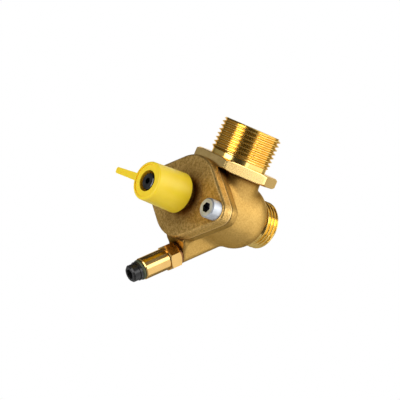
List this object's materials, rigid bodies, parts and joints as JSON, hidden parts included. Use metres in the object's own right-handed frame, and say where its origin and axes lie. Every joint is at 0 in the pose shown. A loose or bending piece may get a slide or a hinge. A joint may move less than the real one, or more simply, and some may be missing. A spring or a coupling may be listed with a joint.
{
  "type": "gas shut-off valve",
  "caption": "Right-angle quarter-turn gas valve in cast brass, with a flanged cover, yellow lever handle, two outside threads and a pressure test nipple.",
  "frame": {"origin": "centre of the end face of the upper spigot, on the axis of its thread", "axes": "+Z out of the upper spigot, +Y out of the rear spigot, -Y towards the handle, +X towards the right-hand cover screw as seen from the handle"},
  "size_m": [0.0558, 0.0689, 0.0789],
  "materials": {
    "cast_brass": "sand-cast, fine grain, satin",
    "turned_brass": "turned, bright",
    "ball_chrome": "polished plating",
    "zinc_steel": "zinc plated",
    "yellow_plastic": "moulded, satin",
    "black_steel": "black oxide",
    "seal_rubber": "matt",
    "washer_copper": "dull",
    "seat_plastic": "smooth"
  },
  "bodies": {
    "valve": {"body": "cast_brass", "cover": "cast_brass", "cover_ring": "seal_rubber", "cover_screw_left": "zinc_steel", "cover_screw_right": "zinc_steel", "rear_seat": "seat_plastic", "top_seat": "seat_plastic", "front_seat": "seat_plastic", "seat_retainer": "turned_brass", "nipple_washer": "washer_copper", "test_nipple": "turned_brass"},
    "quarter_turn": {"ball": "ball_chrome", "stem": "turned_brass", "stem_ring_inner": "seal_rubber", "stem_ring_outer": "seal_rubber", "thrust_washer": "seat_plastic", "handle": "yellow_plastic", "handle_washer": "black_steel", "handle_screw": "black_steel"},
    "seal": {"sealing_ring": "seal_rubber"},
    "sealing_screw": {"sealing_screw": "black_steel"}
  },
  "joints": [
    {"name": "handle_turn", "type": "hinge", "parent": "valve", "child": "quarter_turn", "pos_m": [0, 0, -0.0372], "axis": [0, -1, 0], "range_deg": [-4.5, 85.5]},
    {"name": "sealing_lift", "type": "slide", "parent": "valve", "child": "seal", "axis": [0, -0.7837, -0.6211], "range_m": [0, 0.0012]},
    {"name": "sealing_turn", "type": "hinge", "parent": "seal", "child": "sealing_screw", "pos_m": [0, -0.0117, -0.0619], "axis": [0, -0.7837, -0.6211], "range_deg": [0, 544]}
  ],
  "couplings": [
    {"joint": "sealing_turn", "follows": "sealing_lift", "rad_per_m": 7854}
  ]
}
